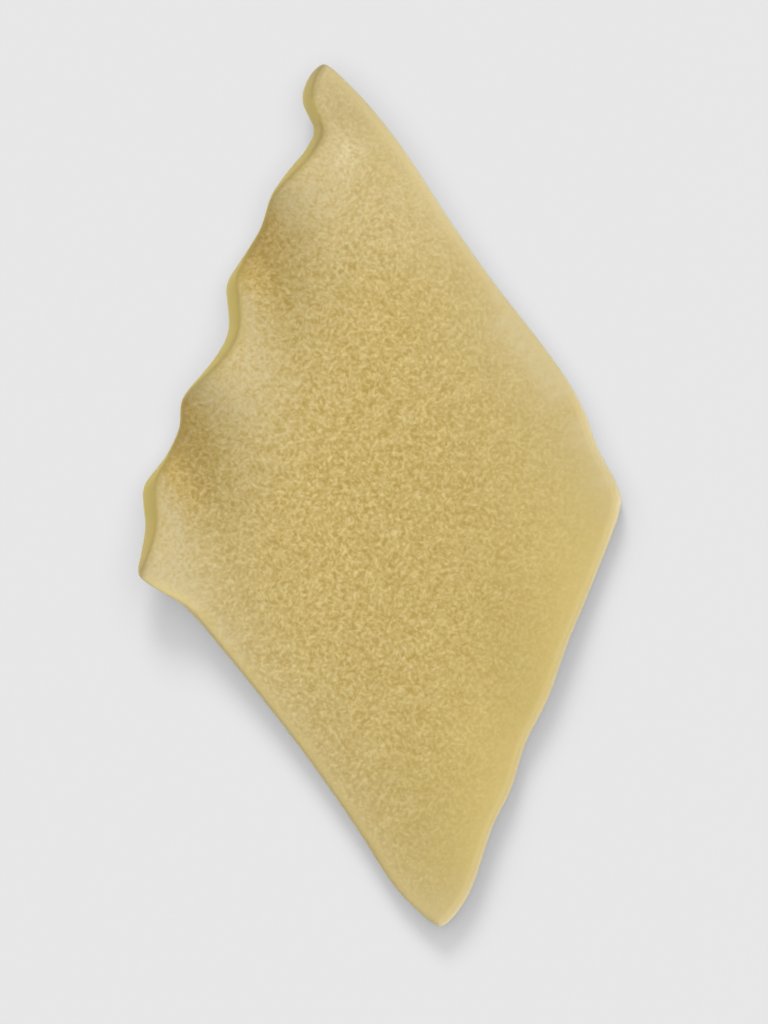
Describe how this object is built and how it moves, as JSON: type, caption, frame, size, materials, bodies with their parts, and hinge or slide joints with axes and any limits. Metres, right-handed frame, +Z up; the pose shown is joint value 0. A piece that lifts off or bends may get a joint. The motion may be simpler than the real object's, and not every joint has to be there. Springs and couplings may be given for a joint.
{
  "type": "taccozzette pasta piece",
  "caption": "Dried lozenge of durum wheat pasta, cut on the slant from a ribbon with a ruffled side, lying flat to be cooked and eaten.",
  "frame": {"origin": "middle of the piece's footprint, at the height that it rests on", "axes": "+Z up out of the shown face, +Y near the long diagonal towards the notched tip, +X towards the plain side, away from the ruffled side"},
  "size_m": [0.024, 0.0428, 0.0031],
  "materials": {
    "pasta": "dull, faintly rough dried dough"
  },
  "bodies": {
    "root": {"taccozzetta": "pasta"}
  },
  "joints": []
}
